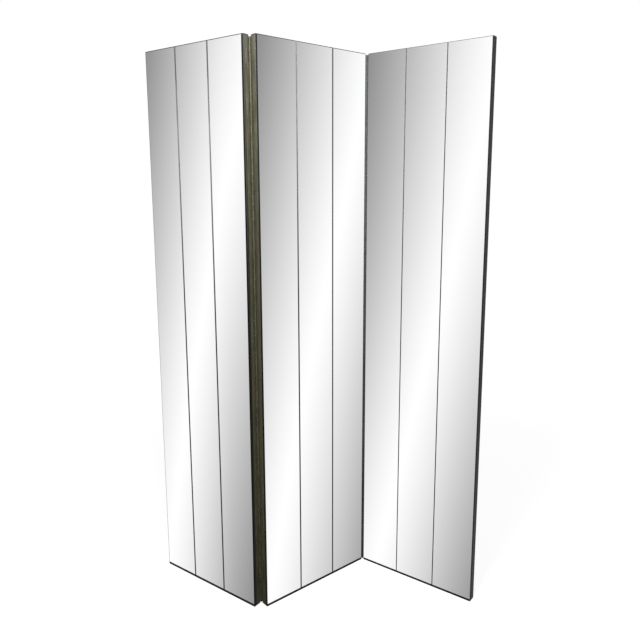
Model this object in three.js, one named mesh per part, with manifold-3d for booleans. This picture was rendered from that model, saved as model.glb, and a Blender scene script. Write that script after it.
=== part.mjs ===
// A folding floor mirror: three equal panels that stand in a zigzag on continuous hinges.
// Millimetres, +Z up. The mirrors face -Y, and the middle of the footprint is the origin.
//
// Each panel is a light board, a tenoned frame between two skins, that carries three mirror strips.
// The left hinge has its pin behind the boards, so that pair folds back to back.
// The right hinge has its pin in front of the mirrors, so that pair folds mirror to mirror.

import * as THREE from "three";
import { mergeVertices } from "three/addons/utils/BufferGeometryUtils.js";
import Module from "manifold-3d";

// Driving dimensions: the screen.
const PANEL_HEIGHT = 2019;
const PANEL_WIDTH = 477;
const PANEL_TURN = 38; // degrees that each panel turns out of the screen's width

// The layers of a panel, from the back to the front.
const BACK_SKIN = 3;
const FRAME_DEPTH = 18;
const FRONT_SKIN = 3;
const ADHESIVE = 1;
const GLASS = 5;
const SEAM = 0.3; // what two pieces that lie on each other keep between them

// The frame inside a panel.
const STILE_WIDTH = 45;
const TOP_RAIL_HEIGHT = 60;
const BOTTOM_RAIL_HEIGHT = 90;
const CROSS_RAIL_HEIGHT = 50;
const CROSS_RAILS = 2;
const TENON_LENGTH = 20;
const TENON_THICKNESS = 6;
const TENON_SHOULDER = 10; // above and below each tenon

// The mirror strips.
const STRIPS = 3;
const STRIP_GAP = 2.6;
const SIDE_REVEAL = 0.5; // bare board beside the outer strips
const TOP_REVEAL = 2.2;
const BOTTOM_REVEAL = 8; // room for the sill under the strips
const SILL_SETBACK = 0.2; // from the mirrors' face back to the sill's
const ARRIS = 0.8; // flat ground along each edge of the glass
const ADHESIVE_INSET = 6; // from a strip's edge to its adhesive pad

// The continuous hinges.
const LEAF_WIDTH = 25.4; // from the pin's axis to the leaf's free edge
const LEAF_THICKNESS = 1.6;
const PIN_DIAMETER = 3.9;
const PIN_CLEARANCE = 0.1;
const KNUCKLE_PITCH = 25.4;
const KNUCKLE_PLAY = 0.4; // along the pin, between two knuckles
const LEAF_RELIEF = 0.35; // from one leaf's notch to the other leaf's knuckle
const PIN_STANDOFF = 1.6; // the pin's axis stands this far outside the face it folds to
const HINGE_END_MARGIN = 3; // at least this much bare edge above and below a hinge

// Facets of the round forms.
const KNUCKLE_FACETS = 6;
const PIN_FACETS = 12;

// Sizes that follow.
const frameBack = BACK_SKIN + SEAM;
const frontSkinBack = frameBack + FRAME_DEPTH + SEAM;
const adhesiveBack = frontSkinBack + FRONT_SKIN + SEAM;
const glassBack = adhesiveBack + ADHESIVE + SEAM;
const panelThickness = glassBack + GLASS;
const boreRadius = PIN_DIAMETER / 2 + PIN_CLEARANCE;
const knuckleRadius = boreRadius + LEAF_THICKNESS;
const endGap = knuckleRadius + SEAM; // from the pin's axis to the end of a panel
const turn = THREE.MathUtils.degToRad(PANEL_TURN);

const paint = new THREE.MeshStandardMaterial({ color: 0x26251f, roughness: 0.6, metalness: 0 });
const pine = new THREE.MeshStandardMaterial({ color: 0xc6a678, roughness: 0.75, metalness: 0 });
const mastic = new THREE.MeshStandardMaterial({ color: 0x1c1b18, roughness: 0.9, metalness: 0 });
const mirror = new THREE.MeshStandardMaterial({ color: 0xeef1f0, roughness: 0.03, metalness: 1 });
const agedBrass = new THREE.MeshStandardMaterial({ color: 0x6e6a52, roughness: 0.5, metalness: 0.8 });
const steel = new THREE.MeshStandardMaterial({ color: 0x5d5a4c, roughness: 0.4, metalness: 0.9 });

const wasm = await Module();
wasm.setup();

// A closed three.js geometry as a solid that can be joined and cut.
function solidOf(geometry) {
  const bare = geometry.clone();
  bare.deleteAttribute("normal");
  bare.deleteAttribute("uv");
  const merged = mergeVertices(bare, 1e-4);
  const mesh = new wasm.Mesh({
    numProp: 3,
    vertProperties: merged.getAttribute("position").array,
    triVerts: new Uint32Array(merged.index.array),
  });
  return new wasm.Manifold(mesh);
}

// A joined or cut solid back as a geometry.
function geometryOf(solid) {
  const mesh = solid.getMesh();
  const indexed = new THREE.BufferGeometry();
  indexed.setAttribute("position", new THREE.BufferAttribute(mesh.vertProperties, 3));
  indexed.setIndex(new THREE.BufferAttribute(mesh.triVerts, 1));
  const geometry = indexed.toNonIndexed();
  geometry.computeVertexNormals();
  return geometry;
}

// A box between two corners.
function boxBetween(x0, y0, z0, x1, y1, z1) {
  const box = new THREE.BoxGeometry(x1 - x0, y1 - y0, z1 - z0);
  return box.translate((x0 + x1) / 2, (y0 + y1) / 2, (z0 + z1) / 2);
}

// In a panel x runs along its width, z up its height, and y from the mirrors' face to the back.
// A layer is named by how far its back lies from the panel's back.
function layerBox(x0, x1, z0, z1, back, thickness) {
  const y1 = panelThickness - back;
  return boxBetween(x0, y1 - thickness, z0, x1, y1, z1);
}

// The rails of a panel, each with its name and its lowest and highest point.
function railSpans() {
  const bottom = { name: "bottom_rail", low: 0, high: BOTTOM_RAIL_HEIGHT };
  const top = { name: "top_rail", low: PANEL_HEIGHT - TOP_RAIL_HEIGHT, high: PANEL_HEIGHT };
  const clear = top.low - bottom.high - CROSS_RAILS * CROSS_RAIL_HEIGHT;
  const bay = clear / (CROSS_RAILS + 1);
  const spans = [bottom, top];
  for (let i = 0; i < CROSS_RAILS; i += 1) {
    const low = bottom.high + bay + i * (bay + CROSS_RAIL_HEIGHT);
    spans.push({ name: `cross_rail_${i + 1}`, low, high: low + CROSS_RAIL_HEIGHT });
  }
  return spans;
}

// The tenons of a rail, or with slack the mortises that take them, as one bar across the panel.
function tenonBar(rail, slack) {
  const reach = STILE_WIDTH - TENON_LENGTH - slack;
  const back = frameBack + (FRAME_DEPTH - TENON_THICKNESS) / 2 - slack;
  const low = rail.low + TENON_SHOULDER - slack;
  const high = rail.high - TENON_SHOULDER + slack;
  return layerBox(reach, PANEL_WIDTH - reach, low, high, back, TENON_THICKNESS + 2 * slack);
}

// A rail runs between the stiles and has a stub tenon at each end.
function railGeometry(rail) {
  const inset = STILE_WIDTH + SEAM;
  const bar = layerBox(inset, PANEL_WIDTH - inset, rail.low, rail.high, frameBack, FRAME_DEPTH);
  return geometryOf(solidOf(bar).add(solidOf(tenonBar(rail, 0))));
}

// A stile runs the panel's full height and has a mortise for each rail.
function stileGeometry(x0) {
  const post = layerBox(x0, x0 + STILE_WIDTH, 0, PANEL_HEIGHT, frameBack, FRAME_DEPTH);
  const mortises = railSpans().map((rail) => solidOf(tenonBar(rail, SEAM)));
  return geometryOf(solidOf(post).subtract(wasm.Manifold.union(mortises)));
}

// A mirror strip: a glass pane whose edges are ground off all round.
function stripGeometry(width, height) {
  const outline = new THREE.Shape();
  outline.moveTo(ARRIS, ARRIS);
  outline.lineTo(width - ARRIS, ARRIS);
  outline.lineTo(width - ARRIS, height - ARRIS);
  outline.lineTo(ARRIS, height - ARRIS);
  outline.closePath();
  const pane = new THREE.ExtrudeGeometry(outline, {
    depth: GLASS - 2 * ARRIS,
    bevelEnabled: true,
    bevelThickness: ARRIS,
    bevelSize: ARRIS,
    bevelSegments: 1,
  });
  return pane.translate(0, 0, ARRIS).rotateX(Math.PI / 2);
}

function named(name, geometry, material) {
  const mesh = new THREE.Mesh(geometry, material);
  mesh.name = name;
  return mesh;
}

// The mirror strips of a panel, each on its adhesive pad.
function addStrips(panel, name) {
  const clear = PANEL_WIDTH - 2 * SIDE_REVEAL - (STRIPS - 1) * STRIP_GAP;
  const width = clear / STRIPS;
  const height = PANEL_HEIGHT - TOP_REVEAL - BOTTOM_REVEAL;
  for (let i = 0; i < STRIPS; i += 1) {
    const x0 = SIDE_REVEAL + i * (width + STRIP_GAP);
    const pad = layerBox(
      x0 + ADHESIVE_INSET,
      x0 + width - ADHESIVE_INSET,
      BOTTOM_REVEAL + ADHESIVE_INSET,
      BOTTOM_REVEAL + height - ADHESIVE_INSET,
      adhesiveBack,
      ADHESIVE,
    );
    panel.add(named(`${name}_adhesive_pad_${i + 1}`, pad, mastic));
    const strip = named(`${name}_mirror_strip_${i + 1}`, stripGeometry(width, height), mirror);
    strip.position.set(x0, panelThickness - glassBack, BOTTOM_REVEAL);
    panel.add(strip);
  }
}

// The sill that the strips stand on, a lath along the panel's foot in front of the board.
function sillBox() {
  const depth = panelThickness - adhesiveBack - SILL_SETBACK;
  return layerBox(0, PANEL_WIDTH, 0, BOTTOM_REVEAL - SEAM, adhesiveBack, depth);
}

// A whole panel, with its lower left front corner at the group's own origin.
function buildPanel(name) {
  const panel = new THREE.Group();
  const backSkin = layerBox(0, PANEL_WIDTH, 0, PANEL_HEIGHT, 0, BACK_SKIN);
  const frontSkin = layerBox(0, PANEL_WIDTH, 0, PANEL_HEIGHT, frontSkinBack, FRONT_SKIN);
  panel.add(named(`${name}_back_skin`, backSkin, paint));
  panel.add(named(`${name}_front_skin`, frontSkin, paint));
  panel.add(named(`${name}_sill`, sillBox(), paint));
  panel.add(named(`${name}_left_stile`, stileGeometry(0), pine));
  panel.add(named(`${name}_right_stile`, stileGeometry(PANEL_WIDTH - STILE_WIDTH), pine));
  for (const rail of railSpans()) {
    panel.add(named(`${name}_${rail.name}`, railGeometry(rail), pine));
  }
  addStrips(panel, name);
  return panel;
}

// A hinge has an odd number of knuckles, so that one leaf has both end ones.
const knucklePairs = Math.floor(((PANEL_HEIGHT - 2 * HINGE_END_MARGIN) / KNUCKLE_PITCH - 1) / 2);
const knuckleCount = 2 * knucklePairs + 1;
const hingeLength = knuckleCount * KNUCKLE_PITCH;

// One knuckle, rolled round the pin's axis from the leaf's edge.
// The leaf stands off the axis along x, and runs away from it along y.
function knuckleGeometry() {
  const leafInside = knuckleRadius - LEAF_THICKNESS;
  const rollEnd = Math.acos(leafInside / knuckleRadius);
  const root = knuckleRadius + LEAF_RELIEF + LEAF_THICKNESS;
  const outline = new THREE.Shape();
  outline.moveTo(knuckleRadius, root);
  outline.lineTo(leafInside, root);
  outline.absarc(0, 0, knuckleRadius, rollEnd, 2 * Math.PI, false);
  outline.closePath();
  const bore = new THREE.Path();
  const boreCorner = boreRadius / Math.cos(Math.PI / KNUCKLE_FACETS);
  bore.absarc(0, 0, boreCorner, 0, 2 * Math.PI, true);
  outline.holes.push(bore);
  const length = KNUCKLE_PITCH - KNUCKLE_PLAY;
  const knuckle = new THREE.ExtrudeGeometry(outline, {
    depth: length,
    bevelEnabled: false,
    curveSegments: KNUCKLE_FACETS / 2,
  });
  return knuckle.translate(0, 0, -length / 2);
}

// A hinge leaf, with its middle at the origin. The long one has a knuckle more, at both ends.
function leafGeometry(isLong) {
  const plate = boxBetween(
    knuckleRadius - LEAF_THICKNESS,
    knuckleRadius + LEAF_RELIEF,
    -hingeLength / 2,
    knuckleRadius,
    LEAF_WIDTH,
    hingeLength / 2,
  );
  const knuckle = knuckleGeometry();
  const count = isLong ? knucklePairs + 1 : knucklePairs;
  const parts = [solidOf(plate)];
  for (let i = 0; i < count; i += 1) {
    const middle = (2 * i - (count - 1)) * KNUCKLE_PITCH;
    parts.push(solidOf(knuckle.clone().translate(0, 0, middle)));
  }
  return geometryOf(wasm.Manifold.union(parts));
}

function pinGeometry() {
  const radius = PIN_DIAMETER / 2;
  return new THREE.CylinderGeometry(radius, radius, hingeLength, PIN_FACETS).rotateX(Math.PI / 2);
}

// Where a pin's axis stands beside a panel: at its left or right end, by its back or its front.
const pinY = { back: panelThickness + PIN_STANDOFF, front: -PIN_STANDOFF };
const pinX = { left: -endGap, right: PANEL_WIDTH + endGap };
const pinZ = PANEL_HEIGHT / 2;

function pinPlace(end, face) {
  return new THREE.Vector3(pinX[end], pinY[face], pinZ);
}

// A leaf's turn about x, y or z that brings it against its end of the panel.
const leafTurn = {
  "left back": new THREE.Euler(Math.PI, 0, 0),
  "right back": new THREE.Euler(0, 0, Math.PI),
  "right front": new THREE.Euler(0, Math.PI, 0),
  "left front": new THREE.Euler(0, 0, 0),
};

function addLeaf(panel, name, geometry, end, face) {
  const leaf = named(name, geometry, agedBrass);
  leaf.position.copy(pinPlace(end, face));
  leaf.rotation.copy(leafTurn[`${end} ${face}`]);
  panel.add(leaf);
}

function addPin(panel, name, end, face) {
  const pin = named(name, pinGeometry(), steel);
  pin.position.copy(pinPlace(end, face));
  panel.add(pin);
}

// Moves a panel so that its own pin place meets the middle panel's.
function hang(panel, ownPin, middle, middlePin) {
  middle.updateMatrixWorld(true);
  const target = middle.localToWorld(middlePin.clone());
  const own = ownPin.clone().applyEuler(panel.rotation);
  panel.position.copy(target).sub(own);
}

const left = buildPanel("left");
const middle = buildPanel("middle");
const right = buildPanel("right");
left.rotation.z = -turn;
middle.rotation.z = turn;
right.rotation.z = -turn;
hang(left, pinPlace("right", "back"), middle, pinPlace("left", "back"));
hang(right, pinPlace("left", "front"), middle, pinPlace("right", "front"));

const longLeaf = leafGeometry(true);
const shortLeaf = leafGeometry(false);
addLeaf(left, "left_hinge_short_leaf", shortLeaf, "right", "back");
addLeaf(middle, "left_hinge_long_leaf", longLeaf, "left", "back");
addPin(middle, "left_hinge_pin", "left", "back");
addLeaf(middle, "right_hinge_long_leaf", longLeaf, "right", "front");
addPin(middle, "right_hinge_pin", "right", "front");
addLeaf(right, "right_hinge_short_leaf", shortLeaf, "left", "front");

const screen = new THREE.Group();
screen.add(left, middle, right);

// The middle of the footprint becomes the origin.
const bounds = new THREE.Box3().setFromObject(screen, true);
const centre = bounds.getCenter(new THREE.Vector3());
screen.position.set(-centre.x, -centre.y, -bounds.min.z);

const floorMirror = new THREE.Group();
floorMirror.add(screen);

export default floorMirror;
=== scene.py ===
import math
import random

import bmesh
import bpy
from mathutils import Euler, Matrix, Vector
from mathutils.geometry import tessellate_polygon


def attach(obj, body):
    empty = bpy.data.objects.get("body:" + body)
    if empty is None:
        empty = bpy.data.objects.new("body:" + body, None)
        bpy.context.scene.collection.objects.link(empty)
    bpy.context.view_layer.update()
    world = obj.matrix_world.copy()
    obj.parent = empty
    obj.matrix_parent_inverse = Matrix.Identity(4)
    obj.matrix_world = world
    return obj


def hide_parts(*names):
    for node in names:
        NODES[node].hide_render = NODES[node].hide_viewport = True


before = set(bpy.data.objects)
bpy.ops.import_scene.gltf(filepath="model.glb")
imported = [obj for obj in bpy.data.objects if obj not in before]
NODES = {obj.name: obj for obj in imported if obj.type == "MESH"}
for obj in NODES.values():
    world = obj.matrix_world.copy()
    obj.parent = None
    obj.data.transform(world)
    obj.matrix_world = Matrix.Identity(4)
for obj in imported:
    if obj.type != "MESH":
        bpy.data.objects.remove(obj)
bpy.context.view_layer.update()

# The looks of a folding floor mirror: three panels of three mirror strips, on two continuous hinges.
# The boards are the CAD pieces. The mirror strips, hinges and pins are made anew and replace theirs.

MM = 0.001
BODY = {"left": "left_panel", "middle": "middle_panel", "right": "right_panel"}

# Sizes in millimetres, the same as the solids have.
PANEL_TURN = 38.0  # degrees that each panel turns out of the object's width
GLASS = 5.0
ARRIS = 0.8
SEAM = 0.3  # what two pieces that lie on each other keep between them
LEAF_WIDTH = 25.4
LEAF_THICKNESS = 1.6
PIN_RADIUS = 1.95
PIN_CLEARANCE = 0.1
KNUCKLE_PITCH = 25.4
KNUCKLE_PLAY = 0.4
KNUCKLE_PAIRS = 39
PIN_STANDOFF = 1.6
BORE_RADIUS = PIN_RADIUS + PIN_CLEARANCE
KNUCKLE_RADIUS = BORE_RADIUS + LEAF_THICKNESS
KNUCKLE_LENGTH = KNUCKLE_PITCH - KNUCKLE_PLAY
HINGE_LENGTH = (2 * KNUCKLE_PAIRS + 1) * KNUCKLE_PITCH
END_GAP = KNUCKLE_RADIUS + SEAM  # from the pin's axis to the end of a panel

# Sizes in millimetres that only this script has.
EDGE_REFLECTION_BAND = {"left": 1.35, "middle": 0.95, "right": 0.0}  # width of a dark band inside the arris: painted reflection of the dark glass edge seen through the glass
ARRIS_BEND = 0.32  # the share of the arris where its two flats meet
SKIN_ROUND = 0.6
FRAME_ROUND = 0.4
OUTLINE_REACH = 0.5  # a face this near to the panel's outline is painted
LEAF_ROOT = 3.2  # from the pin's axis to the plate's edge between the knuckles
LEAF_EDGE_BREAK = 0.3
ROLL_TURN = 301.0  # degrees that a knuckle curls round the pin
ROLL_STEPS = 22
KNUCKLE_END_DROP = 0.16  # how much a knuckle's end is rounded toward the pin
KNUCKLE_END_LENGTH = 0.18  # and over which length
SCREW_PITCH = 2 * KNUCKLE_PITCH
SCREW_FROM_PIN = 15.6
SCREW_RADIUS = 4.1
SCREW_STEPS = 12  # round each half of a head
SCREW_SUNK = 0.12  # from the leaf's face down to the head
SCREW_RIM_DROP = 0.16
SCREW_RIM_WIDTH = 0.2
SCREW_TAPER = 0.7
SCREW_CROWN = 0.10
SLOT_HALF_WIDTH = 0.42
SLOT_DEPTH = 0.62
SLOT_BAR_INSET = 0.5
SLOT_BAR_LIFT = 0.02
SLOT_BAR_DEPTH = 0.35
SLOT_BAR_TAPER = 0.9  # the share of its length that is left at its underside
COUNTERSINK_RADIUS = 4.35
COUNTERSINK_DEPTH = 1.2
COUNTERSINK_SIDES = 20
PIN_SIDES = 24
PIN_END = [(0.0, 0.9), (0.25, 1.5), (0.8, PIN_RADIUS)]  # how far from its end, and the radius there


# ---------------------------------------------------------------- panel axes
def local_box(node, turn):
    """Lowest and highest corner of a CAD node, in axes turned with its panel."""
    back = Matrix.Rotation(-turn, 3, "Z")
    points = [back @ v.co for v in NODES[node].data.vertices]
    low = Vector(min(p[i] for p in points) for i in range(3))
    high = Vector(max(p[i] for p in points) for i in range(3))
    return low, high


class Panel:
    """A panel's own axes: x along its width, y from the mirrors to the back, z up."""

    def __init__(self, name):
        self.name = name
        self.body = BODY[name]
        self.turn = math.radians(PANEL_TURN if name == "middle" else -PANEL_TURN)
        low, high = local_box(name + "_back_skin", self.turn)
        front, _ = local_box(name + "_mirror_strip_1", self.turn)
        self.origin = Vector((low.x, front.y, low.z))
        self.size = high - self.origin
        self.matrix = Matrix.Rotation(self.turn, 4, "Z") @ Matrix.Translation(self.origin)

    def box(self, node):
        low, high = local_box(node, self.turn)
        return low - self.origin, high - self.origin


PANELS = {name: Panel(name) for name in BODY}


# ---------------------------------------------------------------- node helpers
class Nodes:
    """Short calls for the nodes of one tree."""

    def __init__(self, tree):
        self.tree = tree
        tree.nodes.clear()

    def add(self, kind, **settings):
        node = self.tree.nodes.new("ShaderNode" + kind)
        for name, value in settings.items():
            setattr(node, name, value)
        return node

    def put(self, value, socket):
        """Link another node's socket to this one, or set this one's own value."""
        if isinstance(value, bpy.types.NodeSocket):
            self.tree.links.new(value, socket)
        else:
            socket.default_value = value

    def fill(self, node, **values):
        for name, value in values.items():
            self.put(value, node.inputs[name.replace("_", " ")])

    def maths(self, operation, a, b=0.0):
        node = self.add("Math", operation=operation)
        self.put(a, node.inputs[0])
        self.put(b, node.inputs[1])
        return node.outputs[0]

    def plus(self, a, b):
        return self.maths("ADD", a, b)

    def minus(self, a, b):
        return self.maths("SUBTRACT", a, b)

    def times(self, a, b):
        return self.maths("MULTIPLY", a, b)

    def span(self, value, low, high, to_low, to_high):
        """The value's stretch from low to high laid over another one, and held beyond its ends."""
        node = self.add("MapRange")
        self.fill(node, Value=value, From_Min=low, From_Max=high, To_Min=to_low, To_Max=to_high)
        return node.outputs["Result"]

    def between(self, share, a, b):
        """The number a where share is 0, and b where it is 1."""
        node = self.add("Mix", data_type="FLOAT")
        for value, socket in zip((share, a, b), (node.inputs[0], node.inputs[2], node.inputs[3])):
            self.put(value, socket)
        return node.outputs[0]

    def axis(self, vector, name):
        node = self.add("SeparateXYZ")
        self.put(vector, node.inputs[0])
        return node.outputs[name]


class Shader(Nodes):
    """A material with a principled surface, whose noise lies in the object's own axes."""

    def __init__(self, name):
        self.mat = bpy.data.materials.new(name)
        self.mat.use_nodes = True
        super().__init__(self.mat.node_tree)
        self.out = self.add("OutputMaterial")
        self.bsdf = self.add("BsdfPrincipled")
        self.put(self.bsdf.outputs[0], self.out.inputs[0])
        self.coord = self.add("TexCoord").outputs["Object"]

    def set(self, **values):
        self.fill(self.bsdf, **values)

    def height(self):
        """The point's height above the floor, in metres."""
        return self.axis(self.add("NewGeometry").outputs["Position"], "Z")

    def noise(self, scale, detail, roughness, distortion=0.0, drawn=1.0):
        """Noise from 0 to 1. Its grains are drawn out along the object's Z where drawn is below 1."""
        vector = self.coord
        if drawn != 1.0:
            mapping = self.add("Mapping")
            self.fill(mapping, Vector=vector, Scale=(1.0, 1.0, drawn))
            vector = mapping.outputs[0]
        node = self.add("TexNoise")
        self.fill(node, Vector=vector, Scale=scale, Detail=detail, Roughness=roughness, Distortion=distortion)
        return node.outputs["Fac"]

    def cells(self, scale):
        node = self.add("TexVoronoi")
        self.fill(node, Vector=self.coord, Scale=scale)
        return node.outputs["Distance"]

    def ramp(self, fac, *stops):
        node = self.add("ValToRGB")
        self.put(fac, node.inputs["Fac"])
        elements = node.color_ramp.elements
        while len(elements) < len(stops):
            elements.new(1.0)
        for element, (place, colour) in zip(elements, stops):
            element.position = place
            element.color = (*colour, 1.0)
        return node.outputs["Color"]

    def mix(self, fac, a, b, blend="MIX"):
        """The colour a where fac is 0, and b where it is 1."""
        node = self.add("Mix", data_type="RGBA", blend_type=blend)
        self.put(fac, node.inputs[0])
        for colour, socket in ((a, node.inputs[6]), (b, node.inputs[7])):
            self.put(colour if isinstance(colour, bpy.types.NodeSocket) else (*colour, 1.0), socket)
        return node.outputs[2]

    def bump(self, height, distance, strength, after=None):
        """A normal from a height of 0 to 1, whose full step is distance millimetres."""
        node = self.add("Bump")
        self.fill(node, Height=height, Distance=distance * MM, Strength=strength)
        if after is not None:
            self.put(after, node.inputs["Normal"])
        return node.outputs["Normal"]


def shade(tint, *shares):
    """A colour times one share, or times a share for each of red, green and blue."""
    return tuple(c * share for c, share in zip(tint, shares * 3 if len(shares) == 1 else shares))


# ---------------------------------------------------------------- materials
def mirror_face():
    """Silver behind clear glass, with a trace of haze and film."""
    s = Shader("mirror_face")
    haze = s.noise(2.2, 4.0, 0.6)
    specks = s.noise(60.0, 2.0, 0.5)
    silver = s.ramp(haze, (0.3, (0.955, 0.961, 0.957)), (0.7, (0.968, 0.972, 0.969)))
    film = s.times(s.span(haze, 0.45, 0.8, 0.0, 1.0), s.span(specks, 0.35, 0.75, 0.2, 1.0))
    s.set(Base_Color=silver, Metallic=1.0, Roughness=s.span(film, 0.0, 1.0, 0.004, 0.03))
    return s.mat


def glass_edge():
    """The ground edge of the glass at a panel's outline: almost black at the top, and blacker low down as
    painted shade for the lamp overhead lighting the floor end less.
    """
    s = Shader("glass_edge")
    cloud = s.noise(18.0, 3.0, 0.55, drawn=0.2)
    grind = s.noise(900.0, 2.0, 0.6, drawn=0.06)
    black = (0.0006, 0.0007, 0.0004)
    colour = s.ramp(cloud, (0.25, (0.007, 0.010, 0.008)), (0.75, (0.013, 0.017, 0.014)))
    # painted shade: blacker toward the floor
    colour = s.mix(s.span(s.height(), 0.5, 2.0, 0.85, 0.0), colour, black)
    s.set(Base_Color=colour, Roughness=s.span(grind, 0.2, 0.8, 0.3, 0.5), Normal=s.bump(grind, 0.03, 0.5))
    s.set(Specular_IOR_Level=0.04, IOR=1.52)
    return s.mat


def joint_edge(name, top_light, top_fade):
    """The glass beside the joints between strips: dark, and pale grey above the middle as painted light where
    the lamp overhead lights the joints, faded back toward dark at the very top.
    """
    s = Shader(name)
    grind = s.noise(900.0, 2.0, 0.6, drawn=0.06)
    patch = s.noise(7.0, 3.0, 0.6)
    height = s.plus(s.height(), s.span(patch, 0.25, 0.75, -0.12, 0.12))
    dark = s.ramp(grind, (0.25, (0.070, 0.074, 0.071)), (0.75, (0.105, 0.110, 0.106)))
    # painted light: pale grey above the middle, faded back toward dark near the very top
    top_lit = s.ramp(grind, (0.25, (0.26, 0.27, 0.265)), (0.75, (0.34, 0.35, 0.342)))
    top_lit = s.mix(s.span(height, 1.78, 1.92, 0.0, top_fade), top_lit, dark)
    colour = s.mix(s.span(height, 1.1, 1.75, 0.0, top_light), dark, top_lit)
    s.set(Base_Color=colour, Roughness=s.span(grind, 0.2, 0.8, 0.4, 0.6), Normal=s.bump(grind, 0.03, 0.5))
    s.set(Specular_IOR_Level=0.08, IOR=1.52)
    return s.mat


def mirror_backing():
    """The dark grey paint on the back of the silver."""
    s = Shader("mirror_backing")
    spray = s.noise(420.0, 2.0, 0.6)
    cloud = s.noise(7.0, 3.0, 0.5)
    colour = s.ramp(cloud, (0.3, (0.050, 0.052, 0.052)), (0.7, (0.075, 0.077, 0.076)))
    s.set(Base_Color=colour, Roughness=s.span(spray, 0.2, 0.8, 0.55, 0.75), Normal=s.bump(spray, 0.04, 0.6))
    return s.mat


def board_paint():
    """Black brushed paint, scuffed here and there, and paler on the upper half as painted light from the lamp
    overhead.
    """
    s = Shader("board_paint")
    cloud = s.noise(3.5, 4.0, 0.55)
    grain = s.noise(55.0, 4.0, 0.6, 0.6, drawn=0.035)
    stipple = s.noise(620.0, 2.0, 0.55)
    scuff = s.noise(26.0, 6.0, 0.7, 1.2)
    groove, rub, top_light = (0.0070, 0.0068, 0.0055), (0.042, 0.040, 0.034), (0.140, 0.138, 0.128)
    base = s.ramp(cloud, (0.3, (0.0095, 0.0093, 0.0080)), (0.7, (0.0155, 0.0150, 0.0130)))
    base = s.mix(s.span(grain, 0.35, 0.7, 0.0, 0.35), base, groove)
    base = s.mix(s.span(scuff, 0.66, 0.80, 0.0, 0.45), base, rub)
    # painted light: paler toward the top, where the lamp overhead lights the board more
    base = s.mix(s.span(s.height(), 0.9, 1.6, 0.0, 0.55), base, top_light)
    rough = s.plus(s.span(stipple, 0.2, 0.8, 0.40, 0.52), s.span(scuff, 0.6, 0.8, 0.0, 0.18))
    brushed = s.bump(grain, 0.12, 0.35)
    s.set(Base_Color=base, Roughness=rough, Normal=s.bump(stipple, 0.06, 0.55, after=brushed))
    s.set(Specular_IOR_Level=0.12)
    return s.mat


def board_back():
    """The back's hardboard under thin black paint: brushed, cloudy, rubbed and a little scratched."""
    s = Shader("board_back")
    cloud = s.noise(2.6, 5.0, 0.6)
    brush = s.noise(90.0, 4.0, 0.6, 0.4, drawn=0.03)
    stipple = s.noise(520.0, 2.0, 0.55)
    scuff = s.noise(17.0, 6.0, 0.72, 1.4)
    scratch = s.noise(46.0, 2.0, 0.4, 2.2, drawn=0.22)
    thick, even, thin = (0.028, 0.0275, 0.0255), (0.040, 0.039, 0.036), (0.058, 0.056, 0.051)
    groove, rub, bare = (0.020, 0.0195, 0.018), (0.105, 0.095, 0.080), (0.13, 0.115, 0.095)
    base = s.ramp(cloud, (0.30, thick), (0.52, even), (0.72, thin))
    base = s.mix(s.span(brush, 0.35, 0.68, 0.0, 0.45), base, groove)
    base = s.mix(s.span(scuff, 0.62, 0.78, 0.0, 0.55), base, rub)
    line = s.times(s.span(scratch, 0.485, 0.5, 0.0, 1.0), s.span(scratch, 0.5, 0.515, 1.0, 0.0))
    base = s.mix(s.times(line, s.span(cloud, 0.5, 0.62, 0.0, 0.5)), base, bare)
    rough = s.plus(s.span(stipple, 0.2, 0.8, 0.46, 0.58), s.span(scuff, 0.6, 0.8, 0.0, 0.2))
    brushed = s.bump(brush, 0.15, 0.4)
    s.set(Base_Color=base, Roughness=rough, Normal=s.bump(stipple, 0.08, 0.6, after=brushed))
    s.set(Specular_IOR_Level=0.35)
    return s.mat


def bare_pine():
    s = Shader("bare_pine")
    run = s.noise(34.0, 5.0, 0.6, 1.4, drawn=0.05)
    fibre = s.noise(420.0, 3.0, 0.6, drawn=0.02)
    colour = s.ramp(run, (0.3, (0.62, 0.44, 0.24)), (0.52, (0.54, 0.36, 0.18)), (0.7, (0.44, 0.27, 0.12)))
    colour = s.mix(s.span(fibre, 0.3, 0.8, 0.0, 0.3), colour, (0.36, 0.21, 0.09))
    s.set(Base_Color=colour, Roughness=s.span(fibre, 0.2, 0.8, 0.6, 0.8), Normal=s.bump(fibre, 0.1, 0.5))
    return s.mat


def mastic():
    s = Shader("mastic")
    lump = s.noise(140.0, 4.0, 0.6)
    colour = s.ramp(lump, (0.3, (0.022, 0.022, 0.020)), (0.7, (0.040, 0.039, 0.036)))
    s.set(Base_Color=colour, Roughness=s.span(lump, 0.2, 0.8, 0.72, 0.92), Normal=s.bump(lump, 0.3, 0.6))
    return s.mat


def dull_steel():
    s = Shader("pin_steel")
    drawn = s.noise(500.0, 2.0, 0.5, drawn=0.02)
    cloud = s.noise(60.0, 3.0, 0.6)
    colour = s.ramp(cloud, (0.3, (0.13, 0.125, 0.105)), (0.7, (0.21, 0.20, 0.175)))
    s.set(Base_Color=colour, Metallic=0.9, Roughness=s.span(drawn, 0.3, 0.7, 0.3, 0.45))
    s.set(Normal=s.bump(drawn, 0.03, 0.4))
    return s.mat


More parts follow.
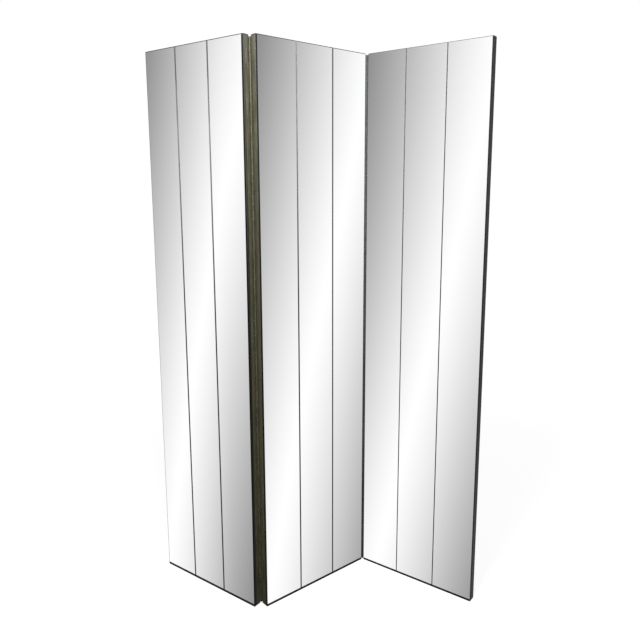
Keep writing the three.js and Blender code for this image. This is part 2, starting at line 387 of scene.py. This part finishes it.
def brass_film(s, tint, grime_and_shade, film, streak):
    """The metal's dull surface: cloudy, with brown patches, streaks, light and dark veins, and spots."""
    patch = s.noise(9.0, 3.0, 0.6, drawn=0.55)
    vein = s.noise(210.0, 3.0, 0.6, 0.3, drawn=0.07)
    brown = shade(tint, 1.06, 0.90, 0.88)
    colour = s.ramp(film, (0.30, shade(tint, 0.76)), (0.5, tint), (0.72, shade(tint, 1.24)))
    colour = s.mix(s.span(patch, 0.48, 0.66, 0.0, 0.75), colour, brown)
    colour = s.mix(s.span(streak, 0.35, 0.75, 0.0, 0.4), colour, grime_and_shade)
    colour = s.mix(s.span(vein, 0.46, 0.62, 0.0, 0.42), colour, grime_and_shade)
    colour = s.mix(s.span(vein, 0.28, 0.44, 0.3, 0.0), colour, shade(tint, 1.7))
    return s.mix(s.span(s.cells(260.0), 0.0, 0.22, 0.35, 0.0), colour, grime_and_shade)


def shade_by_height(s, height):
    """Painted shade by height: the share of the metal's colour kept, from the floor to the top, less low down
    where the lamp overhead gives less light.
    """
    top = 2.0
    stops = (
        (0.06, (0.38, 0.38, 0.24)),
        (0.52, (0.72, 0.72, 0.53)),
        (1.24, (0.86, 0.86, 0.75)),
        (1.76, (0.94, 0.93, 0.88)),
        (1.98, (0.93, 0.915, 0.98)),
    )
    return s.ramp(s.times(height, 1 / top), *((place / top, colour) for place, colour in stops))


def shaded_outer_side(s, film, height):
    """The barrel's outer side: dark grey as painted shade, and browner and darker still toward the floor."""
    dark, even, pale = (0.070, 0.074, 0.066), (0.092, 0.097, 0.087), (0.114, 0.120, 0.108)
    grey = s.ramp(film, (0.30, dark), (0.5, even), (0.72, pale))
    return s.mix(s.span(height, 0.0, 1.6, 0.75, 0.0), grey, (0.015, 0.015, 0.011))


def aged_brass(name, tint, notch_shift=0.0, edge_shade=0.0):
    """Hinge metal with a dull film, and browner and darker toward the floor as painted shade.

    It has a painted highlight on the crest of the barrel inside the angle of the leaves, painted shade in the
    recess along it and most at the leaf's notches, and painted shade in dark grey on the barrel's outer side.
    notch_shift moves the notches along the hinge, in millimetres. The last argument is the strength of
    painted shade along the leaf's free edge.
    """
    s = Shader(name)
    off_plate, along_plate, along_pin = [s.times(s.axis(s.coord, letter), 1 / MM) for letter in "XYZ"]
    film = s.noise(60.0, 4.0, 0.6, 0.4, drawn=0.16)
    streak = s.noise(900.0, 3.0, 0.6, drawn=0.02)
    height = s.plus(s.height(), s.span(film, 0.2, 0.8, -0.12, 0.12))
    height_shade = shade_by_height(s, height)
    grime_and_shade = shade(tint, 0.20, 0.20, 0.15)
    # painted shade: darker and browner toward the floor
    colour = s.mix(1.0, brass_film(s, tint, grime_and_shade, film, streak), height_shade, "MULTIPLY")
    if edge_shade:
        # painted shade: darker along the leaf's free edge beside the glass, most toward the floor
        edge = s.span(along_plate, 20.5, 23.5, 0.0, edge_shade)
        edge = s.times(edge, s.span(height, 1.3, 2.0, 1.0, 0.3))
        colour = s.mix(edge, colour, shade(grime_and_shade, 0.3))

    # The crest is a band along the barrel. The leaves' bisector parts its inner side from its outer one.
    crest = s.times(s.span(off_plate, -3.3, -2.7, 0.0, 1.0), s.span(off_plate, -1.6, -0.8, 1.0, 0.0))
    turn = math.radians(PANEL_TURN)
    ahead = s.minus(s.times(along_plate, math.cos(turn)), s.times(off_plate, math.sin(turn)))
    inside = s.span(ahead, -0.3, 0.8, 0.0, 1.0)
    # painted shade: darker in the recess along the barrel, on the inner side
    recess = s.times(inside, s.span(along_plate, 4.2, 16.0, 0.62, 0.0))
    colour = s.mix(s.times(recess, s.minus(1.0, crest)), colour, grime_and_shade)
    # painted shade: darker still at the leaf's notches between the other leaf's knuckles
    in_notch = s.maths("PINGPONG", s.plus(along_pin, notch_shift), KNUCKLE_PITCH)
    notch = s.times(s.span(in_notch, 12.0, 13.2, 1.0, 0.0), s.span(along_plate, 4.0, 6.4, 0.8, 0.0))
    colour = s.mix(s.times(notch, inside), colour, shade(grime_and_shade, 0.5))
    # painted highlight: a lighter band on the crest of the barrel, on the inner side
    crest_highlight = s.mix(1.0, shade(tint, 1.5, 1.5, 1.6), height_shade, "MULTIPLY")
    colour = s.mix(s.times(crest, s.span(film, 0.3, 0.6, 0.05, 0.5)), colour, crest_highlight)
    # painted shade: the barrel's outer side in dark grey
    colour = s.mix(s.minus(1.0, inside), colour, shaded_outer_side(s, film, height))
    rough = s.plus(s.span(film, 0.3, 0.7, 0.60, 0.48), s.span(streak, 0.3, 0.7, 0.0, 0.08))
    s.set(Base_Color=colour, Metallic=0.12, Roughness=rough, Normal=s.bump(streak, 0.03, 0.5))
    s.set(Specular_IOR_Level=0.1)
    return s.mat


FACE = mirror_face()
EDGE = glass_edge()
# Joint finishes with painted light toward the top, strong or faded at the very top, and one without it
JOINT = joint_edge("joint_edge", 1.0, 0.9)
TOP_LIT_JOINT = joint_edge("joint_edge_top_lit", 1.0, 0.25)
PLAIN_JOINT = joint_edge("joint_edge_plain", 0.0, 0.0)
BACKING = mirror_backing()
PAINT = board_paint()
BACK = board_back()
PINE = bare_pine()
MASTIC = mastic()
BRASS = (0.178, 0.174, 0.124)
LONG_METAL = aged_brass("hinge_brass_long", BRASS)
SHORT_METAL = aged_brass("hinge_brass_short", BRASS, KNUCKLE_PITCH)
EDGE_SHADED_METAL = aged_brass("hinge_brass_edge_shaded", BRASS, KNUCKLE_PITCH, 0.9)
SCREW_METAL = aged_brass("screw_brass", (0.205, 0.200, 0.138))
PIN_METAL = dull_steel()


# ---------------------------------------------------------------- making pieces
def finish(obj, *materials):
    """Give a piece its materials, and keep it out of the mirrors, which see the studio's bands alone."""
    for material in materials:
        obj.data.materials.append(material)
    obj.visible_glossy = False


def refinish(obj, *materials):
    """Finish a CAD piece anew. Clearing the old materials also sets every face to the first slot."""
    obj.data.materials.clear()
    finish(obj, *materials)


def piece(name, mesh, matrix, body, replaces, materials):
    obj = bpy.data.objects.new(name, mesh)
    bpy.context.scene.collection.objects.link(obj)
    obj.matrix_world = matrix
    finish(obj, *materials)
    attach(obj, body)
    if replaces:
        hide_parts(replaces)


def mesh_from(bm, name, smooth_angle=None):
    bmesh.ops.recalc_face_normals(bm, faces=bm.faces)
    mesh = bpy.data.meshes.new(name)
    bm.to_mesh(mesh)
    bm.free()
    if smooth_angle is not None:
        mesh.shade_smooth()
        mesh.set_sharp_from_angle(angle=math.radians(smooth_angle))
    return mesh


def loft(bm, rings, closed_ends=True):
    """Quads between rings of equally many points.

    Returns the rings' vertices, each step's side faces, and the two end faces where closed_ends is true.
    """
    rows = [[bm.verts.new(p) for p in ring] for ring in rings]
    count = len(rings[0])
    sides = []
    for low, high in zip(rows, rows[1:]):
        quads = [(low[i], low[(i + 1) % count], high[(i + 1) % count], high[i]) for i in range(count)]
        sides.append([bm.faces.new(quad) for quad in quads])
    caps = []
    if closed_ends:
        caps = [bm.faces.new(list(reversed(rows[0]))), bm.faces.new(rows[-1])]
    return rows, sides, caps


# ---------------------------------------------------------------- mirror strips
PANE_FINISHES = (FACE, EDGE, JOINT, BACKING, PLAIN_JOINT, TOP_LIT_JOINT)
FACE_SLOT, EDGE_SLOT, JOINT_SLOT, BACKING_SLOT, PLAIN_SLOT, TOP_LIT_SLOT = range(6)
# The finish of the four lines beside and between a panel's strips, from the left.
LINE_SLOTS = {
    "left": (EDGE_SLOT, JOINT_SLOT, JOINT_SLOT, EDGE_SLOT),
    "middle": (EDGE_SLOT, TOP_LIT_SLOT, PLAIN_SLOT, JOINT_SLOT),
    "right": (JOINT_SLOT, TOP_LIT_SLOT, TOP_LIT_SLOT, EDGE_SLOT),
}


def strip_mesh(name, width, height, fade, slots):
    """A silvered pane with a ground arris of two flats along each edge of its face.

    Over the fade's width inside the arris, the face has the edge's dark finish: a painted reflection of the
    dark glass edge seen through the glass.
    """

    def ring(inset, y):
        x0, x1, z0, z1 = inset, width - inset, inset, height - inset
        return [(x0, y, z0), (x1, y, z0), (x1, y, z1), (x0, y, z1)]

    arris = ARRIS * MM
    glass = GLASS * MM
    bend = arris * ARRIS_BEND
    profile = [(arris, 0.0), (bend, bend), (0.0, arris), (0.0, glass - arris), (arris, glass)]
    if fade > 0.0:
        profile.insert(0, (arris + fade * MM, 0.0))
    bm = bmesh.new()
    _, sides, caps = loft(bm, [ring(inset, y) for inset, y in profile])
    caps[0].material_index = FACE_SLOT
    caps[1].material_index = BACKING_SLOT
    for bottom, right, top, left in sides:
        bottom.material_index = top.material_index = EDGE_SLOT
        left.material_index, right.material_index = slots
    return mesh_from(bm, name)


for panel in PANELS.values():
    for number in (1, 2, 3):
        node = f"{panel.name}_mirror_strip_{number}"
        low, high = panel.box(node)
        slots = LINE_SLOTS[panel.name][number - 1:number + 1]
        mesh = strip_mesh(node + "_pane", high.x - low.x, high.z - low.z, EDGE_REFLECTION_BAND[panel.name], slots)
        matrix = panel.matrix @ Matrix.Translation(low)
        piece(node + "_pane", mesh, matrix, panel.body, node, PANE_FINISHES)


# ---------------------------------------------------------------- boards
def soften(obj, width, segments):
    bevel = obj.modifiers.new("worn_edges", "BEVEL")
    bevel.width = width * MM
    bevel.segments = segments
    bevel.limit_method = "ANGLE"
    bevel.angle_limit = math.radians(40)


def dress_skin(obj):
    refinish(obj, PAINT)
    soften(obj, SKIN_ROUND, segments=3)


def dress_back_skin(obj, panel):
    """The back's own paint on the faces that look backward, and the edges' paint on the rest."""
    dress_skin(obj)
    obj.data.materials.append(BACK)
    backward = panel.matrix.to_3x3() @ Vector((0.0, 1.0, 0.0))
    for polygon in obj.data.polygons:
        polygon.material_index = 1 if polygon.normal.dot(backward) > 0.9 else 0


def dress_frame(obj, panel):
    """Paint on the faces that lie on the panel's outline, and bare pine on the rest."""
    refinish(obj, PINE, PAINT)
    soften(obj, FRAME_ROUND, segments=2)
    inverse = panel.matrix.inverted()
    for polygon in obj.data.polygons:
        p = inverse @ polygon.center
        from_outline = min(p.x, panel.size.x - p.x, p.z, panel.size.z - p.z)
        polygon.material_index = 1 if from_outline < OUTLINE_REACH * MM else 0


for panel in PANELS.values():
    for node, obj in NODES.items():
        if not node.startswith(panel.name + "_"):
            continue
        if node.endswith("_back_skin"):
            dress_back_skin(obj, panel)
        elif node.endswith("_front_skin"):
            dress_skin(obj)
        elif node.endswith("_sill"):
            refinish(obj, PAINT)
            soften(obj, FRAME_ROUND, segments=3)
        elif "_stile" in node or "_rail" in node:
            dress_frame(obj, panel)
        elif "_adhesive_pad_" in node:
            refinish(obj, MASTIC)


# ---------------------------------------------------------------- hinges
def knuckle_rings():
    """The rolled strip's outline round the pin, in millimetres, from the plate's edge to the roll's end."""
    outer = [(KNUCKLE_RADIUS, LEAF_ROOT)]
    inner = [(BORE_RADIUS, LEAF_ROOT)]
    for i in range(ROLL_STEPS + 1):
        angle = -math.radians(ROLL_TURN) * i / ROLL_STEPS
        outer.append((KNUCKLE_RADIUS * math.cos(angle), KNUCKLE_RADIUS * math.sin(angle)))
        inner.append((BORE_RADIUS * math.cos(angle), BORE_RADIUS * math.sin(angle)))
    return outer, inner


def add_knuckle(bm, middle):
    """One knuckle as a curled strip with lightly rounded ends."""
    outer, inner = knuckle_rings()
    end = KNUCKLE_LENGTH / 2
    body = end - KNUCKLE_END_LENGTH
    levels = [(-end, KNUCKLE_END_DROP), (-body, 0.0), (body, 0.0), (end, KNUCKLE_END_DROP)]
    rings = []
    for z, drop in levels:
        shares = [1 - drop / KNUCKLE_RADIUS if i > 0 else 1 for i in range(len(outer))]
        curl = [(x * k * MM, y * k * MM, (middle + z) * MM) for (x, y), k in zip(outer, shares)]
        back = [(x * MM, y * MM, (middle + z) * MM) for x, y in reversed(inner)]
        rings.append(curl + back)
    rows, _, _ = loft(bm, rings, closed_ends=False)
    count = len(outer)
    total = 2 * count
    for row in (rows[0], rows[-1]):
        for i in range(count - 1):
            bm.faces.new((row[i], row[i + 1], row[total - 2 - i], row[total - 1 - i]))


def circle(radius, middle):
    """Points round a screw's hole, across the plate and along the pin, in millimetres."""
    angles = [2 * math.pi * i / COUNTERSINK_SIDES for i in range(COUNTERSINK_SIDES)]
    return [(SCREW_FROM_PIN + radius * math.cos(a), middle + radius * math.sin(a)) for a in angles]


def add_plate(bm, low, high, hole):
    """A length of the leaf's plate between two heights, with a countersink in it where hole is true."""
    scale = Matrix.Scale(MM, 3)

    def vertices(x, points):
        return [bm.verts.new(scale @ Vector((x, y, z))) for y, z in points]

    def corners(edge):
        return [(LEAF_ROOT, low), (edge, low), (edge, high), (LEAF_ROOT, high)]

    outline = corners(LEAF_WIDTH - LEAF_EDGE_BREAK)
    face = vertices(BORE_RADIUS, outline)
    rim = vertices(BORE_RADIUS + LEAF_EDGE_BREAK, [(LEAF_WIDTH, low), (LEAF_WIDTH, high)])
    back = vertices(KNUCKLE_RADIUS, corners(LEAF_WIDTH))
    bm.faces.new((face[1], face[2], rim[1], rim[0]))
    bm.faces.new((rim[0], rim[1], back[2], back[1]))
    bm.faces.new((face[0], back[0], back[3], face[3]))
    bm.faces.new(back)
    bm.faces.new((face[0], face[1], rim[0], back[1], back[0]))
    bm.faces.new((face[3], face[2], rim[1], back[2], back[3]))
    if not hole:
        bm.faces.new(face)
        return
    middle = (low + high) / 2
    mouth = circle(COUNTERSINK_RADIUS, middle)
    top = vertices(BORE_RADIUS, mouth)
    floor = circle(COUNTERSINK_RADIUS - COUNTERSINK_DEPTH, middle)
    bottom = vertices(BORE_RADIUS + COUNTERSINK_DEPTH, floor)
    for i in range(COUNTERSINK_SIDES):
        j = (i + 1) % COUNTERSINK_SIDES
        bm.faces.new((top[i], top[j], bottom[j], bottom[i]))
    bm.faces.new(bottom)
    flat = [[Vector((y, z, 0.0)) for y, z in points] for points in (outline, mouth)]
    verts = face + top
    for triangle in tessellate_polygon(flat):
        bm.faces.new([verts[k] for k in triangle])


def leaf_mesh(name, is_long):
    """A leaf with its knuckles. The long leaf has one more, so the knuckles at both ends are its own."""
    bm = bmesh.new()
    count = KNUCKLE_PAIRS + 1 if is_long else KNUCKLE_PAIRS
    for i in range(count):
        add_knuckle(bm, (2 * i - (count - 1)) * KNUCKLE_PITCH)
    half = HINGE_LENGTH / 2
    start = -KNUCKLE_PAIRS / 2 * SCREW_PITCH
    add_plate(bm, -half, start, False)
    for i in range(KNUCKLE_PAIRS):
        add_plate(bm, start + i * SCREW_PITCH, start + (i + 1) * SCREW_PITCH, True)
    add_plate(bm, -start, half, False)
    bmesh.ops.remove_doubles(bm, verts=bm.verts, dist=0.005 * MM)
    return mesh_from(bm, name, smooth_angle=32)


def add_screw(bm, middle, turn):
    """A countersunk head, just below the leaf's face, with a straight slot across it."""
    top = BORE_RADIUS + SCREW_SUNK
    slot_floor = top + SLOT_DEPTH
    rim = SCREW_RADIUS - SCREW_RIM_WIDTH
    profile = [(rim, top), (SCREW_RADIUS, top + SCREW_RIM_DROP), (SCREW_RADIUS - SCREW_TAPER, slot_floor)]
    slot_angle = math.asin(SLOT_HALF_WIDTH / rim)
    axis = Matrix.Rotation(turn, 3, "X")
    centre = Vector((0.0, SCREW_FROM_PIN, middle))

    def vert(x, u, v):
        return bm.verts.new((axis @ Vector((x, u, v)) + centre) * MM)

    for side, edge in ((0.0, SLOT_HALF_WIDTH), (math.pi, -SLOT_HALF_WIDTH)):
        arcs = []
        for r, x in profile:
            points = []
            for i in range(SCREW_STEPS + 1):
                angle = side + slot_angle + (math.pi - 2 * slot_angle) * i / SCREW_STEPS
                points.append(vert(x, r * math.cos(angle), r * math.sin(angle)))
            arcs.append(points)
        inner = vert(top - SCREW_CROWN, 0.0, edge)
        floor_inner = vert(slot_floor, 0.0, edge)
        for first, second in zip(arcs, arcs[1:]):
            for i in range(SCREW_STEPS):
                bm.faces.new((first[i], first[i + 1], second[i + 1], second[i]))
        for i in range(SCREW_STEPS):
            bm.faces.new((inner, arcs[0][i + 1], arcs[0][i]))
        for i in range(SCREW_STEPS):
            bm.faces.new((floor_inner, arcs[2][i], arcs[2][i + 1]))
        for end in (0, -1):
            bm.faces.new((inner, arcs[0][end], arcs[1][end], arcs[2][end], floor_inner))
    add_slot_bar(bm, vert, slot_floor, slot_angle)


def add_slot_bar(bm, vert, slot_floor, slot_angle):
    """The bar between the two halves of a head, whose upper face is the slot's floor."""
    steps = 4
    radius = SCREW_RADIUS - SLOT_BAR_INSET
    points = []
    for side in (0.0, math.pi):
        for i in range(steps + 1):
            angle = side - slot_angle + 2 * slot_angle * i / steps
            points.append((radius * math.cos(angle), radius * math.sin(angle)))
    upper = [vert(slot_floor - SLOT_BAR_LIFT, u, v) for u, v in points]
    lower = [vert(slot_floor + SLOT_BAR_DEPTH, u * SLOT_BAR_TAPER, v) for u, v in points]
    for i in range(len(points)):
        j = (i + 1) % len(points)
        bm.faces.new((upper[i], upper[j], lower[j], lower[i]))
    bm.faces.new(upper)
    bm.faces.new(list(reversed(lower)))


def screws_mesh(name, seed):
    """All the screws of a leaf, each turned by chance."""
    chance = random.Random(seed)
    bm = bmesh.new()
    for i in range(KNUCKLE_PAIRS):
        middle = (i - (KNUCKLE_PAIRS - 1) / 2) * SCREW_PITCH
        add_screw(bm, middle, chance.uniform(0, math.pi))
    return mesh_from(bm, name, smooth_angle=32)


def pin_mesh(name):
    """The pin, with its ends rounded over."""
    half = HINGE_LENGTH / 2
    levels = [(-half + z, radius) for z, radius in PIN_END]
    levels += [(-z, radius) for z, radius in reversed(levels)]
    angles = [2 * math.pi * i / PIN_SIDES for i in range(PIN_SIDES)]
    bm = bmesh.new()
    rings = []
    for z, radius in levels:
        rings.append([(radius * math.cos(a) * MM, radius * math.sin(a) * MM, z * MM) for a in angles])
    loft(bm, rings)
    return mesh_from(bm, name, smooth_angle=40)


def pin_place(panel, end, face):
    """Where the pin stands at an end of a panel, outside its back or its front, at half height."""
    x = -END_GAP * MM if end == "left" else panel.size.x + END_GAP * MM
    y = panel.size.y + PIN_STANDOFF * MM if face == "back" else -PIN_STANDOFF * MM
    return panel.matrix @ Matrix.Translation((x, y, panel.size.z / 2))


# How a leaf is turned onto an end of its panel, for a pin outside the panel's back or front.
LEAF_TURN = {
    ("left", "back"): Euler((math.pi, 0, 0)),
    ("right", "back"): Euler((0, 0, math.pi)),
    ("right", "front"): Euler((0, math.pi, 0)),
    ("left", "front"): Euler((0, 0, 0)),
}
# Each leaf's node, its panel, the panel's end, the face that the pin stands outside of, whether it is the
# long leaf, and its metal.
LEAVES = [
    ("left_hinge_short_leaf", "left", "right", "back", False, EDGE_SHADED_METAL),
    ("left_hinge_long_leaf", "middle", "left", "back", True, LONG_METAL),
    ("right_hinge_long_leaf", "middle", "right", "front", True, LONG_METAL),
    ("right_hinge_short_leaf", "right", "left", "front", False, SHORT_METAL),
]
PINS = [("left_hinge_pin", "left", "back"), ("right_hinge_pin", "right", "front")]
FIRST_SEED = 11

for seed, (node, panel_name, end, face, is_long, metal) in enumerate(LEAVES, FIRST_SEED):
    panel = PANELS[panel_name]
    matrix = pin_place(panel, end, face) @ LEAF_TURN[(end, face)].to_matrix().to_4x4()
    leaf = leaf_mesh(node, is_long)
    piece(node + "_rolled", leaf, matrix, panel.body, node, (metal,))
    screws = screws_mesh(node + "_screws", seed)
    piece(node + "_screws", screws, matrix, panel.body, None, (SCREW_METAL,))

for node, end, face in PINS:
    panel = PANELS["middle"]
    place = pin_place(panel, end, face)
    piece(node + "_rounded", pin_mesh(node), place, panel.body, node, (PIN_METAL,))


# ---------------------------------------------------------------- studio floor, in metres
FLOOR_HALF = 30.0
FLOOR_DROP = 0.0005  # below the object's foot
WHITE = (1.0, 1.0, 1.0, 1.0)


def floor_finish():
    """A pale floor that holds the object's shadow and glows for the camera, a little more beyond the object.

    Other rays find it mid grey, so that it throws little light back at the object.
    """
    s = Shader("studio_floor")
    seen = s.add("LightPath").outputs["Is Camera Ray"]
    mottle = s.noise(1.3, 3.0, 0.5)
    pale = s.ramp(mottle, (0.3, (0.86, 0.86, 0.86)), (0.7, (0.88, 0.88, 0.88)))
    s.set(Base_Color=s.mix(seen, (0.30, 0.30, 0.30), pale), Roughness=0.9)
    reach = s.add("VectorMath", operation="LENGTH")
    s.put(s.coord, reach.inputs[0])
    glow = s.add("Emission")
    s.fill(glow, Color=WHITE, Strength=s.span(reach.outputs["Value"], 1.5, 3.0, 1.2, 1.23))
    glow_share = 0.72
    blend = s.add("MixShader")
    s.put(s.times(seen, glow_share), blend.inputs["Fac"])
    s.put(s.bsdf.outputs[0], blend.inputs[1])
    s.put(glow.outputs[0], blend.inputs[2])
    s.put(blend.outputs[0], s.out.inputs[0])
    return s.mat


def floor_mesh(name):
    bm = bmesh.new()
    bmesh.ops.create_grid(bm, x_segments=8, y_segments=8, size=FLOOR_HALF)
    return mesh_from(bm, name)


floor = bpy.data.objects.new("studio_floor", floor_mesh("studio_floor"))
bpy.context.scene.collection.objects.link(floor)
floor.location.z = -FLOOR_DROP
finish(floor, floor_finish())

# ---------------------------------------------------------------- what the mirrors see
# Wide slanting bands of light and pale grey lie round the whole studio. A whole number of the phase is the
# middle of a light band. The phase runs round with the bearing in degrees, which is 0 in front of the
# object. It leans with the height and bows with its square, both in bands for a height in radians.
BANDS = [
    (-180.0, -1.600),
    (-92.0, -0.518),
    (-83.33, 0.0),
    (-79.0, 0.189),
    (-71.0, 0.569),
    (-61.7, 1.0),
    (-57.0, 1.205),
    (70.0, 2.539),
    (79.59, 3.0),
    (84.0, 3.229),
    (180.0, 4.400),
]
LEAN = [
    (-180.0, 0.670),
    (-79.0, 0.670),
    (-71.0, 0.494),
    (-57.0, 0.494),
    (70.0, 0.584),
    (84.0, 0.584),
    (180.0, 0.670),
]
BOW = [
    (-180.0, 0.0),
    (-79.0, 0.0),
    (-71.0, 0.245),
    (-57.0, 0.245),
    (70.0, 0.013),
    (180.0, 0.0),
]
GREYEST = 111.9 / 255  # how far the middle of a grey band lies below white, as a display shows it
GREY_FALL = 1.304  # the power by which a band darkens toward its middle
MIRROR_SHARE = 0.962  # the share of the light that the mirrors give back


def along(w, bearing, points):
    """A value that runs straight between the points, by the bearing."""
    total = points[0][1]
    for (a, value_a), (b, value_b) in zip(points, points[1:]):
        if value_a != value_b:
            total = w.plus(total, w.span(bearing, a, b, 0.0, value_b - value_a))
    return total


def light_of(w, shown):
    """The light that a display shows as a tone from 0 to 1, by its standard curve."""
    offset = 0.055
    power = 2.4
    return w.maths("POWER", w.maths("DIVIDE", w.plus(shown, offset), 1.0 + offset), power)


def banded_light(w, x, y, z):
    """The bands' light from the direction x, y, z. The bands fade toward the top and the bottom."""
    bearing = w.times(w.maths("ARCTAN2", x, w.times(y, -1.0)), 180 / math.pi)
    height = w.maths("ARCSINE", z)
    bow = w.times(w.times(height, height), along(w, bearing, BOW))
    lean = w.times(height, along(w, bearing, LEAN))
    phase = w.plus(along(w, bearing, BANDS), w.minus(bow, lean))
    off_light = w.times(w.maths("PINGPONG", phase, 0.5), 2.0)
    grey = w.times(w.maths("POWER", off_light, GREY_FALL), GREYEST)
    fade = w.span(w.maths("ABSOLUTE", height), math.radians(40), math.radians(75), 1.0, 0.45)
    shown = w.minus(1.0, w.times(grey, fade))
    return w.times(light_of(w, shown), 1.0 / MIRROR_SHARE)


def dome_light(w, y, z):
    """What lights the object: a plain soft dome, brighter overhead and behind.

    It is dim in front, where the lamp overhead does the work.
    """
    behind = w.span(y, -0.35, 0.6, 0.0, 0.6)
    overhead = w.span(z, -0.2, 1.0, 0.55, 1.1)
    return w.times(overhead, w.plus(0.22, behind))


def studio_world():
    """Bands for glossy rays, the dome for diffuse ones, and white for the camera."""
    world = bpy.data.worlds.new("studio")
    world.use_nodes = True
    w = Nodes(world.node_tree)
    direction = w.add("TexCoord").outputs["Generated"]
    x, y, z = [w.axis(direction, letter) for letter in "XYZ"]
    path = w.add("LightPath")
    light = w.between(path.outputs["Is Glossy Ray"], dome_light(w, y, z), banded_light(w, x, y, z))
    seen = w.maths("MAXIMUM", path.outputs["Is Camera Ray"], path.outputs["Is Transmission Ray"])
    background = w.add("Background")
    w.fill(background, Color=WHITE, Strength=w.between(seen, light, 1.0))
    output = w.add("OutputWorld")
    w.put(background.outputs[0], output.inputs[0])
    return world


bpy.context.scene.world = studio_world()


# ---------------------------------------------------------------- lamp and camera, in metres
def lamp(name, place, target, size, power):
    data = bpy.data.lights.new(name, "AREA")
    data.shape = "DISK"
    data.size = size
    data.energy = power
    obj = bpy.data.objects.new(name, data)
    obj.location = place
    obj.rotation_euler = (Vector(target) - Vector(place)).to_track_quat("-Z", "Y").to_euler()
    bpy.context.scene.collection.objects.link(obj)


def camera_at(place, down, right, lens, shift):
    """A camera that looks along +Y, turned down and to the right by degrees, with its shift on the film."""
    data = bpy.data.cameras.new("camera")
    data.sensor_width = 36.0
    data.lens = lens
    data.shift_x, data.shift_y = shift
    obj = bpy.data.objects.new("camera", data)
    obj.location = place
    obj.rotation_euler = (math.radians(90.0 - down), 0.0, -math.radians(right))
    bpy.context.scene.collection.objects.link(obj)
    bpy.context.scene.camera = obj


lamp("key_lamp", place=(-0.15, -1.05, 3.05), target=(-0.15, 0.0, 1.2), size=0.5, power=62.0)
camera_at((-0.02173, -2.29264, 1.52717), down=9.8312, right=2.2040, lens=35.6274, shift=(-0.01791, -0.03191))
bpy.context.scene.view_settings.view_transform = "Standard"
